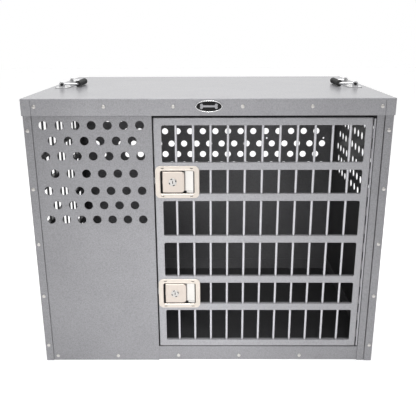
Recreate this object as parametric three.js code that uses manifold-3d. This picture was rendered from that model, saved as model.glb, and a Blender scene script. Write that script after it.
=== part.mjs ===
// A heavy-duty dog crate of riveted aluminium sheet: a flanged lid, a flanged floor, punched walls, a
// barred left wall, a barred door on a continuous hinge with two paddle latches, and two folding
// carry handles.
// Millimetres. +X is to the right of someone facing the door, +Y to the back, +Z up.
// The origin is at the middle of the footprint, on the floor.

import * as THREE from 'three';
import { mergeVertices } from 'three/addons/utils/BufferGeometryUtils.js';
import Module from 'manifold-3d';

const wasm = await Module();
wasm.setup();

// ---------------------------------------------------------------- driving dimensions

// The shell
const WIDTH = 914; // over the lid's flanges
const DEPTH = 648; // over the lid's flanges
const HEIGHT = 727; // floor to the lid's top face
const SHEET = 2; // sheet thickness
const GAP = 0.3; // between touching pieces
const LID_FLANGE = 42;
const CORNER_STRIP = 20.7; // the side walls fold round the corners by this much
const FOOT_GAP = 0.5; // the walls stop this far above the floor

// The badge stands proud of the lid, and the origin is the middle of the whole footprint.
const BADGE_THICKNESS = 1.7;
const BADGE_SIZE = { width: 66, height: 29, x: 2.5, z: 708 };
const LID_FRONT = (BADGE_THICKNESS + GAP - DEPTH) / 2;
const LID_REAR = LID_FRONT + DEPTH;

// The sheets lie in layers, counted inwards from the lid's flange.
const LAYER = SHEET + GAP;
const STRIP_FRONT = LID_FRONT + LAYER;
const PANEL_FRONT = LID_FRONT + 2 * LAYER;
const SILL_FRONT = LID_FRONT + 3 * LAYER;
const PAN_FRONT = LID_FRONT + 4 * LAYER;
const STRIP_REAR = LID_REAR - LAYER;
const PANEL_REAR = LID_REAR - 2 * LAYER;
const PAN_REAR = LID_REAR - 3 * LAYER;
const WALL_X = WIDTH / 2 - LAYER; // outer face of the side walls
const PAN_X = WIDTH / 2 - 2 * LAYER; // outer face of the floor's side flanges
const SHELL_TOP = HEIGHT - SHEET - GAP;

// Punched air holes: seven staggered rows, in two groups of three about a middle row
const AIR_HOLE_RADIUS = 11;
const ROW_DROPS = [0, 38.6, 77.2, 122.2, 167.2, 205.8, 244.4];
const TOP_ROW_Z = 661;
const REAR_ROW_DROP = 3;
const FRONT_HOLES = { pitch: 39.7, count: 7, middle: -287.4, sides: 8 };
const REAR_HOLES = { pitch: 45.3, count: 19, middle: 0, sides: 6 };
const SIDE_HOLES = { pitch: 43.2, count: 13, middle: 0, sides: 6 }; // in the right wall

// The door
const DOOR = { left: -135, right: 405.5, bottom: 45.5, top: 679.5 };
const DOOR_GAP = 3.3;
const HINGE_GAP = 8; // between the door's right edge and the jamb
const DOOR_FLANGE = 12;
const DOOR_STOP = { lap: 12, clearance: 2 }; // behind the door's top edge
const WINDOW = { left: -115.5, right: 388, corner: 5 };
const WINDOW_HEIGHTS = [94, 63, 95.5, 96, 62.5, 92]; // from the top down
const LATCH_WINDOWS = [1, 4]; // the two low windows that hold the latches
const BAR_RADIUS = 3.175;
const BAR_PITCH = 43.3;
const BAR_COUNT = 11;
const BAR_END = 4.5; // the bars stop this far inside the door's edges
const BAR_Y = PANEL_FRONT + 6.6;
const CUT_BARS = 2; // the bars that stop above and below each latch
const RAIL_DEPTH = 12.8; // from the door's face to the back of the angle
const RAIL_SHEET = 1.5;
const RAIL_WEB = 14;

// The left wall has windows like the door's, from front to rear, with a bar in the middle of them
const SIDE_WINDOW = { front: -262.4, rear: 241.1, lap: 8 };

// The continuous hinge
const HINGE = { x: 409.5, y: PANEL_FRONT - 0.3, knuckle: 3.1, pin: 1.5, bottom: 48, top: 677 };
const KNUCKLES = 13;
const LEAF_SHEET = 1.5;
const LEAF = { near: 2.8, far: 20 }; // a leaf's edges, from the pin

// The paddle latches, from the middle of the mounting flange
const LATCH_X = -78;
const FLANGE = { width: 111.3, height: 84, corner: 12, sheet: 1.5 };
const DISH = { halfWidth: 43.7, halfHeight: 30.4, depth: 14, wall: 1.2 };
const PADDLE = { left: -38, right: 18, halfHeight: 28, sheet: 2.5, ear: 1.6, corner: 8 };
const PIVOT = { x: -35.5, y: 5.5, radius: 2 };
const LEVER_REACH = 24;
const BOLT = { left: -69, right: -14, front: 16, rear: 26, halfHeight: 9 };
const LOCK = { x: -12, radius: 9, armLength: 18 };

// The folding handles, for the right one; the left one is its mirror
const HANDLE = { pivotX: 417, gripX: 376, armY: 56, earY: 64, pivotZ: HEIGHT + 9.8 };
const HANDLE_PLATE = { halfWidth: 20, sheet: 1.6 };
const BAIL_RADIUS = 3.4;
const GRIP = { radius: 9, length: 92 };

// ---------------------------------------------------------------- materials

const paint = (color, roughness, metalness) =>
  new THREE.MeshStandardMaterial({ color, roughness, metalness });

const hammertone = paint(0x96969b, 0.5, 0.35);
const doorCoat = paint(0xa3a2a7, 0.5, 0.35);
const zinc = paint(0xd6d8d6, 0.3, 0.9);
const latchMetal = paint(0xd9cfc4, 0.32, 0.85);
const darkSteel = paint(0x55565a, 0.45, 0.8);
const blackRubber = paint(0x202123, 0.75, 0.0);
const badgeFace = paint(0x1b1c1f, 0.35, 0.2);

// ---------------------------------------------------------------- solids

// A closed geometry as a solid that can be joined and cut
function solid(geometry) {
  const bare = geometry.clone();
  bare.deleteAttribute('normal');
  bare.deleteAttribute('uv');
  const merged = mergeVertices(bare, 1e-4);
  return new wasm.Manifold(new wasm.Mesh({
    numProp: 3,
    vertProperties: new Float32Array(merged.attributes.position.array),
    triVerts: new Uint32Array(merged.index.array),
  }));
}

function geometryOf(body) {
  const mesh = body.getMesh();
  const geometry = new THREE.BufferGeometry();
  geometry.setAttribute('position', new THREE.BufferAttribute(mesh.vertProperties, mesh.numProp));
  geometry.setIndex(new THREE.BufferAttribute(mesh.triVerts, 1));
  const flat = geometry.toNonIndexed();
  flat.computeVertexNormals();
  return flat;
}

function join(...bodies) {
  return bodies.reduce((sum, body) => sum.add(body));
}

function cut(body, ...tools) {
  return tools.reduce((rest, tool) => rest.subtract(tool), body);
}

function block([x0, x1], [y0, y1], [z0, z1]) {
  const box = new THREE.BoxGeometry(x1 - x0, y1 - y0, z1 - z0);
  box.translate((x0 + x1) / 2, (y0 + y1) / 2, (z0 + z1) / 2);
  return solid(box);
}

// A round bar along an axis, from one place on it to another
function bar(axis, radius, centre, [from, to], sides = 12) {
  const geometry = new THREE.CylinderGeometry(radius, radius, to - from, sides);
  geometry.translate(0, (from + to) / 2, 0);
  if (axis === 'z') geometry.rotateX(Math.PI / 2);
  geometry.translate(centre.x ?? 0, centre.y ?? 0, centre.z ?? 0);
  return solid(geometry);
}

// A sheet that stands across the Y axis: the shape is drawn in X and Z
function uprightSheet(shape, front, thickness, curveSegments = 2) {
  const geometry = new THREE.ExtrudeGeometry(shape, {
    depth: thickness, bevelEnabled: false, curveSegments,
  });
  geometry.rotateX(Math.PI / 2);
  geometry.translate(0, front + thickness, 0);
  return solid(geometry);
}

// A sheet that stands across the X axis: the shape is drawn in Y and Z
function sideSheet(shape, inner, thickness) {
  const geometry = new THREE.ExtrudeGeometry(shape, { depth: thickness, bevelEnabled: false });
  const turn = new THREE.Matrix4().makeBasis(
    new THREE.Vector3(0, 1, 0), new THREE.Vector3(0, 0, 1), new THREE.Vector3(1, 0, 0));
  geometry.applyMatrix4(turn);
  geometry.translate(inner, 0, 0);
  return solid(geometry);
}

// A level sheet: the shape is drawn in X and Y
function levelSheet(shape, bottom, thickness) {
  const geometry = new THREE.ExtrudeGeometry(shape, { depth: thickness, bevelEnabled: false });
  geometry.translate(0, 0, bottom);
  return solid(geometry);
}

function rectangle([u0, u1], [v0, v1], Kind = THREE.Shape) {
  const outline = new Kind();
  outline.moveTo(u0, v0);
  outline.lineTo(u1, v0);
  outline.lineTo(u1, v1);
  outline.lineTo(u0, v1);
  outline.closePath();
  return outline;
}

function roundedRectangle([u0, u1], [v0, v1], radius, Kind = THREE.Shape) {
  const outline = new Kind();
  outline.absarc(u1 - radius, v0 + radius, radius, -Math.PI / 2, 0);
  outline.absarc(u1 - radius, v1 - radius, radius, 0, Math.PI / 2);
  outline.absarc(u0 + radius, v1 - radius, radius, Math.PI / 2, Math.PI);
  outline.absarc(u0 + radius, v0 + radius, radius, Math.PI, 1.5 * Math.PI);
  outline.closePath();
  return outline;
}

// A punched hole, as a polygon of the same area as the round one
function punch(u, v, radius, sides) {
  const corner = radius * Math.sqrt((2 * Math.PI) / (sides * Math.sin((2 * Math.PI) / sides)));
  const outline = new THREE.Path();
  for (let i = 0; i < sides; i++) {
    const angle = ((i + 0.5) * 2 * Math.PI) / sides;
    const to = i === 0 ? 'moveTo' : 'lineTo';
    outline[to](u + corner * Math.cos(angle), v + corner * Math.sin(angle));
  }
  outline.closePath();
  return outline;
}

// The seven staggered rows: every second row has one hole fewer
function airHoles({ pitch, count, middle, sides }, topRow) {
  return ROW_DROPS.flatMap((drop, row) => {
    const inRow = count - (row % 2);
    const first = middle - (pitch * (inRow - 1)) / 2;
    return Array.from({ length: inRow }, (_, i) =>
      punch(first + i * pitch, topRow - drop, AIR_HOLE_RADIUS, sides));
  });
}

// ---------------------------------------------------------------- the exported group

const crate = new THREE.Group();

function place(parent, name, body, material) {
  const mesh = new THREE.Mesh(geometryOf(body), material);
  mesh.name = name;
  parent.add(mesh);
}

// ---------------------------------------------------------------- shell

function makeLid() {
  const halfWidth = WIDTH / 2;
  const bottom = HEIGHT - LID_FLANGE;
  const outside = block([-halfWidth, halfWidth], [LID_FRONT, LID_REAR], [bottom, HEIGHT]);
  const inside = block(
    [-halfWidth + SHEET, halfWidth - SHEET],
    [LID_FRONT + SHEET, LID_REAR - SHEET],
    [bottom - 1, HEIGHT - SHEET]);
  // The side flanges wrap round the corners, so each end flange has a fine slit near its ends.
  const slitX = WALL_X - CORNER_STRIP - 2;
  const slits = [-slitX, slitX].map((x) =>
    block([x - 0.3, x + 0.3], [LID_FRONT - 1, LID_REAR + 1], [bottom - 1, HEIGHT - 5]));
  return cut(outside, inside, ...slits);
}

function makeFloor() {
  const outside = block([-PAN_X, PAN_X], [PAN_FRONT, PAN_REAR], [0, LID_FLANGE]);
  const inside = block(
    [-PAN_X + SHEET, PAN_X - SHEET], [PAN_FRONT + SHEET, PAN_REAR - SHEET], [SHEET, LID_FLANGE + 1]);
  return cut(outside, inside);
}

// side is -1 on the left, where the wall has barred windows, and 1 on the right, where it is punched
function makeSideWall(side) {
  const wall = rectangle([STRIP_FRONT, STRIP_REAR], [FOOT_GAP, SHELL_TOP]);
  const { front, rear } = SIDE_WINDOW;
  wall.holes.push(...(side > 0
    ? airHoles(SIDE_HOLES, TOP_ROW_Z)
    : windows.map((height) =>
      roundedRectangle([front, rear], height, WINDOW.corner, THREE.Path))));
  const inner = side > 0 ? WALL_X - SHEET : -WALL_X;
  const strip = side > 0 ? [WALL_X - CORNER_STRIP, WALL_X] : [-WALL_X, -WALL_X + CORNER_STRIP];
  return join(
    sideSheet(wall, inner, SHEET),
    block(strip, [STRIP_FRONT, STRIP_FRONT + SHEET], [FOOT_GAP, SHELL_TOP]),
    block(strip, [STRIP_REAR - SHEET, STRIP_REAR], [FOOT_GAP, SHELL_TOP]));
}

// The left wall's grille: an angle under each window, with the bars welded through its ledge
function makeSideGrille() {
  const { front, rear, lap } = SIDE_WINDOW;
  const outer = SHEET + GAP - WALL_X;
  const inner = RAIL_DEPTH - WALL_X;
  const span = [front - lap, rear + lap];
  const rails = windows.flatMap(([bottom]) => [
    block([outer, inner], span, [bottom - RAIL_SHEET, bottom]),
    block([inner - RAIL_SHEET, inner], span, [bottom - RAIL_WEB, bottom])]);
  const x = BAR_Y - PANEL_FRONT - WALL_X;
  const bars = Array.from({ length: BAR_COUNT }, (_, i) => {
    const y = (front + rear) / 2 + (i - (BAR_COUNT - 1) / 2) * BAR_PITCH;
    return bar('z', BAR_RADIUS, { x, y }, [DOOR.bottom + BAR_END, DOOR.top - BAR_END], 8);
  });
  return join(...rails, ...bars);
}

function makeRearWall() {
  const wall = rectangle([-PAN_X, PAN_X], [FOOT_GAP, SHELL_TOP]);
  wall.holes.push(...airHoles(REAR_HOLES, TOP_ROW_Z - REAR_ROW_DROP));
  return uprightSheet(wall, PANEL_REAR - SHEET, SHEET);
}

function makeFrontWall() {
  const wall = rectangle([-PAN_X, DOOR.left - DOOR_GAP], [FOOT_GAP, SHELL_TOP]);
  wall.holes.push(...airHoles(FRONT_HOLES, TOP_ROW_Z));
  return uprightSheet(wall, PANEL_FRONT, SHEET);
}

// The strip over the door, folded back and down as a stop behind the door's top edge
function makeDoorHeader() {
  const across = [DOOR.left - DOOR_GAP + GAP, DOOR.right + HINGE_GAP - GAP];
  const bottom = HEIGHT - LID_FLANGE + 2;
  const stop = PANEL_FRONT + DOOR_FLANGE + DOOR_STOP.clearance;
  return join(
    block(across, [PANEL_FRONT, PANEL_FRONT + SHEET], [bottom, SHELL_TOP]),
    block(across, [PANEL_FRONT, stop + SHEET], [bottom, bottom + SHEET]),
    block(across, [stop, stop + SHEET], [DOOR.top - DOOR_STOP.lap, bottom + SHEET]));
}

// An angle behind the front wall's free edge, with a slot for each bolt
function makeLatchPost(latchHeights) {
  const edge = DOOR.left - DOOR_GAP;
  const bottom = LID_FLANGE + 1;
  const top = SHELL_TOP - 24;
  const slots = latchHeights.map((z) =>
    block([edge - 3, edge + 1], [PANEL_FRONT + BOLT.front - 2, PANEL_FRONT + BOLT.rear + 2],
      [z - BOLT.halfHeight - 3, z + BOLT.halfHeight + 3]));
  return cut(
    join(
      block([edge - 17, edge], [SILL_FRONT, SILL_FRONT + SHEET], [bottom, top]),
      block([edge - SHEET, edge], [SILL_FRONT, SILL_FRONT + 31], [bottom, top])),
    ...slots);
}

function makeBadge() {
  const oval = new THREE.Shape();
  oval.absellipse(BADGE_SIZE.x, BADGE_SIZE.z, BADGE_SIZE.width / 2, BADGE_SIZE.height / 2,
    0, 2 * Math.PI);
  return uprightSheet(oval, LID_FRONT - GAP - BADGE_THICKNESS, BADGE_THICKNESS, 16);
}

// ---------------------------------------------------------------- door

const railHeight = (DOOR.top - DOOR.bottom - WINDOW_HEIGHTS.reduce((a, b) => a + b)) / 7;

// Each window's lowest and highest edge, from the top down
const windows = [];
for (const height of WINDOW_HEIGHTS) {
  const above = windows.length ? windows.at(-1)[0] : DOOR.top;
  const top = above - railHeight;
  windows.push([top - height, top]);
}
const latchHeights = LATCH_WINDOWS.map((i) => (windows[i][0] + windows[i][1]) / 2);

const middleBarX = (WINDOW.left + WINDOW.right) / 2;
const barX = Array.from({ length: BAR_COUNT }, (_, i) =>
  middleBarX + (i - (BAR_COUNT - 1) / 2) * BAR_PITCH);

function makeDoorSkin() {
  const skin = rectangle([DOOR.left, DOOR.right], [DOOR.bottom, DOOR.top]);
  windows.forEach((height, i) => {
    // A latch's dish needs more room on the left, behind its flange.
    const left = LATCH_WINDOWS.includes(i) ? LATCH_X - DISH.halfWidth - 4 : WINDOW.left;
    skin.holes.push(roundedRectangle([left, WINDOW.right], height, WINDOW.corner, THREE.Path));
  });
  // The edge is folded back along the top, the left and the bottom. The hinge leaf stiffens the right.
  const bend = 0.1;
  const [left, right] = [DOOR.left + bend, WINDOW.right];
  const [bottom, top] = [DOOR.bottom + bend, DOOR.top - bend];
  const fold = new THREE.Shape();
  fold.moveTo(right, top);
  fold.lineTo(left, top);
  fold.lineTo(left, bottom);
  fold.lineTo(right, bottom);
  fold.lineTo(right, bottom + SHEET);
  fold.lineTo(left + SHEET, bottom + SHEET);
  fold.lineTo(left + SHEET, top - SHEET);
  fold.lineTo(right, top - SHEET);
  fold.closePath();
  return join(
    uprightSheet(skin, PANEL_FRONT, SHEET),
    uprightSheet(fold, PANEL_FRONT + SHEET / 2, DOOR_FLANGE - SHEET / 2));
}

// An angle behind a rail: its level ledge holds the bars, and its web closes the back
function makeRail(ledgeTop) {
  const front = PANEL_FRONT + SHEET + GAP;
  const rear = PANEL_FRONT + RAIL_DEPTH;
  const span = [DOOR.left + SHEET + GAP, WINDOW.right + 0.5];
  const ledge = rectangle(span, [front, rear]);
  ledge.holes.push(...barX.map((x) => punch(x, BAR_Y, BAR_RADIUS + 0.3, 6)));
  return join(
    levelSheet(ledge, ledgeTop - RAIL_SHEET, RAIL_SHEET),
    block(span, [rear - RAIL_SHEET, rear], [ledgeTop - RAIL_WEB, ledgeTop]));
}

// The stretches of a bar that stops clear of both latches
function cutBarStretches() {
  const clear = RAIL_WEB + 1;
  return [
    ['top', [windows[0][0] - clear, DOOR.top - BAR_END]],
    ['middle', [windows[3][0] - clear, windows[1][0] - GAP]],
    ['bottom', [DOOR.bottom + BAR_END, windows[4][0] - GAP]],
  ];
}

// side is -1 for the door's leaf and 1 for the jamb's
function makeHingeLeaf(side) {
  const { x, y, knuckle, pin, bottom, top } = HINGE;
  const pitch = (top - bottom) / KNUCKLES;
  const sheetY = [PANEL_FRONT + SHEET + GAP, PANEL_FRONT + SHEET + GAP + LEAF_SHEET];
  const across = (near, far) => [Math.min(x + side * near, x + side * far),
    Math.max(x + side * near, x + side * far)];
  const parts = [block(across(LEAF.near, LEAF.far), sheetY, [bottom, top])];
  for (let i = side > 0 ? 0 : 1; i < KNUCKLES; i += 2) {
    const span = [bottom + i * pitch + 0.2, bottom + (i + 1) * pitch - 0.2];
    parts.push(block(across(0, 6), sheetY, span));
    parts.push(bar('z', knuckle, { x, y }, span, 12));
  }
  const bore = bar('z', pin + 0.25, { x, y }, [bottom - 1, top + 1], 8);
  return cut(join(...parts), bore);
}

// ---------------------------------------------------------------- latches

// A curve through a list of points, which a swept section meets one by one
class Route extends THREE.Curve {
  constructor(points) {
    super();
    this.points = points;
  }

  getPoint(t) {
    const place = t * (this.points.length - 1);
    const i = Math.min(Math.floor(place), this.points.length - 2);
    return this.points[i].clone().lerp(this.points[i + 1], place - i);
  }

  getPointAt(t) {
    return this.getPoint(t);
  }

  getTangentAt(t) {
    const last = this.points.length - 1;
    const i = Math.round(t * last);
    const before = this.points[Math.max(i - 1, 0)];
    const after = this.points[Math.min(i + 1, last)];
    return after.clone().sub(before).normalize();
  }
}

// A wire or rod along a list of points
function sweep(points, radius, sides) {
  const section = new THREE.Shape();
  for (let i = 0; i < sides; i++) {
    const angle = (i * 2 * Math.PI) / sides;
    const to = i === 0 ? 'moveTo' : 'lineTo';
    section[to](radius * Math.cos(angle), radius * Math.sin(angle));
  }
  section.closePath();
  return solid(new THREE.ExtrudeGeometry(section, {
    steps: points.length - 1, bevelEnabled: false, extrudePath: new Route(points),
  }));
}

// Every latch piece is drawn about the middle of its flange, with Y counted from the door's face.
function makeLatchPan() {
  const { width, height, corner, sheet } = FLANGE;
  const { halfWidth, halfHeight, depth, wall } = DISH;
  const flange = roundedRectangle([-width / 2, width / 2], [-height / 2, height / 2], corner);
  const dish = block([-halfWidth, halfWidth], [-GAP - 0.1, depth], [-halfHeight, halfHeight]);
  const hollow = block([wall - halfWidth, halfWidth - wall], [-sheet - 1, depth - wall],
    [wall - halfHeight, halfHeight - wall]);
  const leverSlot = block([PIVOT.x - 2.5, PIVOT.x + 12], [depth - 2, depth + 1], [-5, 5]);
  const pinHole = bar('z', PIVOT.radius + 0.3, PIVOT, [-halfHeight - 1, halfHeight + 1], 8);
  return cut(
    join(uprightSheet(flange, -GAP - sheet, sheet), dish), hollow, leverSlot, pinHole);
}

function makePaddle() {
  const { left, right, halfHeight, sheet, ear, corner } = PADDLE;
  const front = -1.2;
  const plate = new THREE.Shape();
  plate.moveTo(left, -halfHeight);
  plate.lineTo(right - corner, -halfHeight);
  plate.absarc(right - corner, corner - halfHeight, corner, -Math.PI / 2, 0);
  plate.absarc(right - corner, halfHeight - corner, corner, 0, Math.PI / 2);
  plate.lineTo(left, halfHeight);
  plate.closePath();
  const earAt = (z) => block([left, right - corner], [front, 9], [z, z + ear]);
  const lug = block([PIVOT.x - 3, PIVOT.x + 3], [0, 9], [-4, 4]);
  const lever = block([PIVOT.x - 1.5, PIVOT.x + 1.5], [8, LEVER_REACH], [-4, 4]);
  const pinHole = bar('z', PIVOT.radius + 0.3, PIVOT, [-halfHeight - 1, halfHeight + 1], 8);
  const lockHole = bar('y', LOCK.radius + GAP, { x: LOCK.x }, [-5, 5], 14);
  return cut(
    join(uprightSheet(plate, front, sheet), earAt(-halfHeight), earAt(halfHeight - ear), lug, lever),
    pinHole, lockHole);
}

function makePaddlePin() {
  return bar('z', PIVOT.radius, PIVOT, [GAP - DISH.halfHeight, DISH.halfHeight - GAP], 8);
}

function makePaddleSpring() {
  const turns = 3;
  const stepsPerTurn = 9;
  const pitch = 1.5;
  const points = [];
  for (let i = 0; i <= turns * stepsPerTurn; i++) {
    const angle = (i * 2 * Math.PI) / stepsPerTurn;
    points.push(new THREE.Vector3(
      PIVOT.x + 3.1 * Math.cos(angle),
      PIVOT.y + 3.1 * Math.sin(angle),
      7 + (i * pitch) / stepsPerTurn));
  }
  return sweep(points, 0.5, 4);
}

function makeBolt() {
  const { left, right, front, rear, halfHeight } = BOLT;
  const side = new THREE.Shape();
  side.moveTo(left, front);
  side.lineTo(right, front);
  side.lineTo(right, rear);
  side.lineTo(left + 8, rear);
  side.lineTo(left, front + 3);
  side.closePath();
  const notch = block([PIVOT.x - 5.5, PIVOT.x + 5.5], [front - 1, rear + 1], [-5.5, 5.5]);
  return cut(levelSheet(side, -halfHeight, 2 * halfHeight), notch);
}

// A hat section whose feet sit on the back of the dish
function makeBoltGuide() {
  const sheet = 1.2;
  const inner = BOLT.halfHeight + 0.4;
  const foot = DISH.depth + GAP;
  const crown = BOLT.rear + GAP;
  const hat = new THREE.Shape();
  hat.moveTo(foot, -18);
  hat.lineTo(foot + sheet, -18);
  hat.lineTo(foot + sheet, -inner - sheet);
  hat.lineTo(crown + sheet, -inner - sheet);
  hat.lineTo(crown + sheet, inner + sheet);
  hat.lineTo(foot + sheet, inner + sheet);
  hat.lineTo(foot + sheet, 18);
  hat.lineTo(foot, 18);
  hat.lineTo(foot, inner);
  hat.lineTo(crown, inner);
  hat.lineTo(crown, -inner);
  hat.lineTo(foot, -inner);
  hat.closePath();
  return sideSheet(hat, PIVOT.x - 7.5, 37);
}

function makeLockCylinder() {
  return join(
    bar('y', LOCK.radius + 1.5, { x: LOCK.x }, [-2.8, -1.5], 14),
    bar('y', LOCK.radius, { x: LOCK.x }, [-2, 8], 14));
}

function makeLockCam() {
  const arm = roundedRectangle([LOCK.x - 5, LOCK.x + 5], [-7, LOCK.armLength], 4.5);
  return uprightSheet(arm, 8 + GAP, 2, 1);
}

// ---------------------------------------------------------------- handles

// The right handle; side mirrors it
function makeHandlePlate(side) {
  const across = (a, b) => (side > 0 ? [a, b] : [-b, -a]);
  const base = HEIGHT + GAP;
  const { pivotX, pivotZ, earY } = HANDLE;
  const ear = (y) => block(across(pivotX - 8, pivotX + 8), [y, y + SHEET], [base, pivotZ + 8]);
  const pivotHole = bar('y', BAIL_RADIUS + 0.4, { x: side * pivotX, z: pivotZ }, [-80, 80], 10);
  return cut(
    join(
      block(across(pivotX - HANDLE_PLATE.halfWidth, pivotX + HANDLE_PLATE.halfWidth),
        [-earY - 8, earY + 8], [base, base + HANDLE_PLATE.sheet]),
      ear(-earY - SHEET), ear(earY)),
    pivotHole);
}

// A U of round rod whose ends turn out through the two ears
function makeBail(side) {
  const { pivotX, gripX, armY, pivotZ } = HANDLE;
  const end = HANDLE.earY + SHEET + 3;
  const bend = 7;
  const corners = [[pivotX, -armY], [gripX, -armY], [gripX, armY], [pivotX, armY]];
  const stops = [[pivotX, -end], ...corners, [pivotX, end]];
  const points = [new THREE.Vector3(side * pivotX, -end, pivotZ)];
  for (let i = 1; i <= corners.length; i++) {
    const [before, corner, after] = [stops[i - 1], stops[i], stops[i + 1]]
      .map(([x, y]) => new THREE.Vector3(side * x, y, pivotZ));
    const inward = before.sub(corner).normalize();
    const onward = after.sub(corner).normalize();
    const centre = corner.clone().addScaledVector(inward, bend).addScaledVector(onward, bend);
    for (let step = 0; step <= 4; step++) {
      const angle = (step / 4) * (Math.PI / 2);
      points.push(centre.clone()
        .addScaledVector(onward, -bend * Math.cos(angle))
        .addScaledVector(inward, -bend * Math.sin(angle)));
    }
  }
  points.push(new THREE.Vector3(side * pivotX, end, pivotZ));
  return sweep(points, BAIL_RADIUS, 8);
}

function makeGrip(side) {
  const centre = { x: side * HANDLE.gripX, z: HANDLE.pivotZ };
  const half = GRIP.length / 2;
  return cut(
    bar('y', GRIP.radius, centre, [-half, half], 14),
    bar('y', BAIL_RADIUS + GAP, centre, [-half - 1, half + 1], 8));
}

// ---------------------------------------------------------------- assembly

place(crate, 'top_cap', makeLid(), hammertone);
place(crate, 'floor_pan', makeFloor(), hammertone);
place(crate, 'left_side_panel', makeSideWall(-1), hammertone);
place(crate, 'left_side_grille', makeSideGrille(), zinc);
place(crate, 'right_side_panel', makeSideWall(1), hammertone);
place(crate, 'rear_panel', makeRearWall(), hammertone);
place(crate, 'front_left_panel', makeFrontWall(), hammertone);
place(crate, 'hinge_jamb',
  block([DOOR.right + HINGE_GAP, PAN_X], [PANEL_FRONT, PANEL_FRONT + SHEET], [FOOT_GAP, SHELL_TOP]),
  hammertone);
place(crate, 'door_header', makeDoorHeader(), hammertone);
place(crate, 'door_sill',
  block([-PAN_X, PAN_X], [SILL_FRONT, SILL_FRONT + SHEET], [FOOT_GAP, LID_FLANGE + 0.5]),
  hammertone);
place(crate, 'latch_post', makeLatchPost(latchHeights), hammertone);
place(crate, 'badge', makeBadge(), badgeFace);

const door = new THREE.Group();
crate.add(door);
place(door, 'door_skin', makeDoorSkin(), doorCoat);
windows.forEach(([bottom], i) => place(door, `door_rail_${i + 1}`, makeRail(bottom), doorCoat));
barX.forEach((x, i) => {
  const stretches = i < CUT_BARS
    ? cutBarStretches()
    : [['', [DOOR.bottom + BAR_END, DOOR.top - BAR_END]]];
  for (const [part, span] of stretches) {
    const name = ['door_bar', i + 1, part].filter(Boolean).join('_');
    place(door, name, bar('z', BAR_RADIUS, { x, y: BAR_Y }, span, 8), zinc);
  }
});

place(door, 'door_hinge_leaf', makeHingeLeaf(-1), darkSteel);
place(crate, 'jamb_hinge_leaf', makeHingeLeaf(1), darkSteel);
place(crate, 'hinge_pin',
  bar('z', HINGE.pin, { x: HINGE.x, y: HINGE.y }, [HINGE.bottom - 1.5, HINGE.top + 1.5], 8), zinc);

['upper', 'lower'].forEach((level, i) => {
  const latch = new THREE.Group();
  latch.position.set(LATCH_X, PANEL_FRONT, latchHeights[i]);
  door.add(latch);
  place(latch, `${level}_latch_pan`, makeLatchPan(), latchMetal);
  place(latch, `${level}_paddle`, makePaddle(), latchMetal);
  place(latch, `${level}_paddle_pin`, makePaddlePin(), darkSteel);
  place(latch, `${level}_paddle_spring`, makePaddleSpring(), darkSteel);
  place(latch, `${level}_bolt`, makeBolt(), latchMetal);
  place(latch, `${level}_bolt_guide`, makeBoltGuide(), latchMetal);
  place(latch, `${level}_lock_cylinder`, makeLockCylinder(), zinc);
  place(latch, `${level}_lock_cam`, makeLockCam(), darkSteel);
});

for (const [name, side] of [['left', -1], ['right', 1]]) {
  place(crate, `${name}_handle_plate`, makeHandlePlate(side), zinc);
  place(crate, `${name}_bail`, makeBail(side), zinc);
  place(crate, `${name}_grip`, makeGrip(side), blackRubber);
}

export default crate;
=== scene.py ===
"""A riveted sheet-metal dog crate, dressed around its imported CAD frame.

The pieces are drawn in millimetres on flat sheets (u to the right, v up, w into the depth, as
someone facing the sheet sees it), folded, and then stood up in the frame, which is in metres.
"""

from math import cos, pi, radians, sin

import bmesh
import bpy
from mathutils import Matrix, Vector


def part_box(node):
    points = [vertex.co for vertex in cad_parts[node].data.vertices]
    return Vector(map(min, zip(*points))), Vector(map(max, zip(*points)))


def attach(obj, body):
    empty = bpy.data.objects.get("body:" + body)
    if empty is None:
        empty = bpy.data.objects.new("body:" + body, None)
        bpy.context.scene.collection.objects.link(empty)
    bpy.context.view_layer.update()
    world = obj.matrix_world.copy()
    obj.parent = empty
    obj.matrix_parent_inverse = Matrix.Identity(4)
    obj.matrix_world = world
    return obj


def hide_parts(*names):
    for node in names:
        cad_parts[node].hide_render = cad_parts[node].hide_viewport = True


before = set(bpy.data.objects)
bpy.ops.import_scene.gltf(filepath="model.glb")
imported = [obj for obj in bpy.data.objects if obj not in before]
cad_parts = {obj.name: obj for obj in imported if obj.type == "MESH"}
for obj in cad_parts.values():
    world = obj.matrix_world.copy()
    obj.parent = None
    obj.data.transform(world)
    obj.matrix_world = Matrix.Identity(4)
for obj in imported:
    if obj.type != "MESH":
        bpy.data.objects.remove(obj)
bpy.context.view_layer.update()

MM = 0.001

# ---------------------------------------------------------------- sizes from the frame


def extent(node):
    """A CAD node's (lowest, highest) along X, Y and Z, in millimetres."""
    low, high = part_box(node)
    return [(low[i] / MM, high[i] / MM) for i in range(3)]


def middle(span):
    return (span[0] + span[1]) / 2


SHEET = 2.0  # the shell's sheet
CUT_EDGE = 0.35  # rounding of a sheared or punched edge
BEND = 2.8  # outer radius of a folded edge

LID = extent("top_cap")
PAN = extent("floor_pan")
DOOR = extent("door_skin")
FACE = DOOR[1][0]  # the front wall and the door share this plane
WALL = extent("right_side_panel")
STRIP = 20.7  # how far a side wall folds round the corner
SIDES = (("left", -1), ("right", 1))

# Air holes: seven staggered rows, in two groups of three about a middle row
HOLE_RADIUS = 11.0
ROW_DROPS = (0, 38.6, 77.2, 122.2, 167.2, 205.8, 244.4)
TOP_ROW = LID[2][1] - 66.0
REAR_ROW_DROP = 3.0
FRONT_HOLES = dict(pitch=39.7, count=7, centre=-287.4)
REAR_HOLES = dict(pitch=45.3, count=19, centre=0.0)
SIDE_HOLES = dict(pitch=43.2, count=13, centre=0.0)
# Two small fastener holes in the rear wall, between two of its rows
FASTENER = dict(v=510.5, radius=3.0, steps=12, clockwise=True)
FASTENER_PLACES = (207.7, 412.0)

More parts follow.
